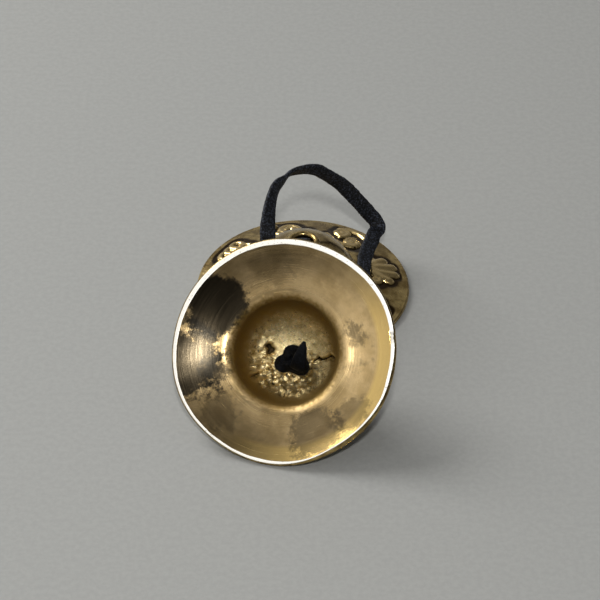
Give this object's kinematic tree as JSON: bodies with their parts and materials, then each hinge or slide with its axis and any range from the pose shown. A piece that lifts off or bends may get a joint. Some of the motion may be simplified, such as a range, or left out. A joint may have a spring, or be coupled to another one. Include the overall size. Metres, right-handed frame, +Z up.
{
  "type": "hand cymbal pair",
  "caption": "Pair of small cast brass hand cymbals with domed bosses, joined through their crowns by one flat black leather thong knotted inside each dome.",
  "frame": {"origin": "centre of the rear cymbal's rim, on the surface that the pair lies on", "axes": "+Z up along the rear cymbal's axis, +Y away from the front cymbal, +X to the right of a person who faces the front cymbal's open side"},
  "size_m": [0.0701, 0.1112, 0.0461],
  "materials": {
    "brass": "cast, turned and worn bright",
    "leather": "black, matt, fuzzy on the flesh side"
  },
  "bodies": {
    "rear_cymbal": {"rear_cymbal": "brass"},
    "rear_hitch": {"rear_knot": "leather", "rear_tail": "leather"},
    "rear_leg": {"rear_leg": "leather"},
    "front_leg": {"front_leg": "leather"},
    "front_hitch": {"front_knot": "leather", "front_tail": "leather"},
    "front_cymbal": {"front_cymbal": "brass"}
  },
  "joints": [
    {"name": "rear_spin", "type": "hinge", "parent": "rear_cymbal", "child": "rear_hitch", "pos_m": [0, 0, 0.0195], "axis": [0, 0, 1], "continuous": true},
    {"name": "rear_rock", "type": "hinge", "parent": "rear_hitch", "child": "rear_leg", "pos_m": [0, 0, 0.02014], "axis": [-1, 0, 0], "range_deg": [0, 12]},
    {"name": "thong_fold", "type": "hinge", "parent": "rear_leg", "child": "front_leg", "pos_m": [0.0013, 0.0088, 0.03975], "axis": [-0.9539, -0.3, 0], "range_deg": [0, 60]},
    {"name": "front_rock", "type": "hinge", "parent": "front_leg", "child": "front_hitch", "pos_m": [-0.00205, -0.04147, 0.00927], "axis": [0.9659, -0.2588, 0], "range_deg": [-20, 20]},
    {"name": "front_spin", "type": "hinge", "parent": "front_hitch", "child": "front_cymbal", "pos_m": [-0.0057, -0.0551, 0.02363], "axis": [0.1814, 0.677, -0.7133], "continuous": true}
  ]
}
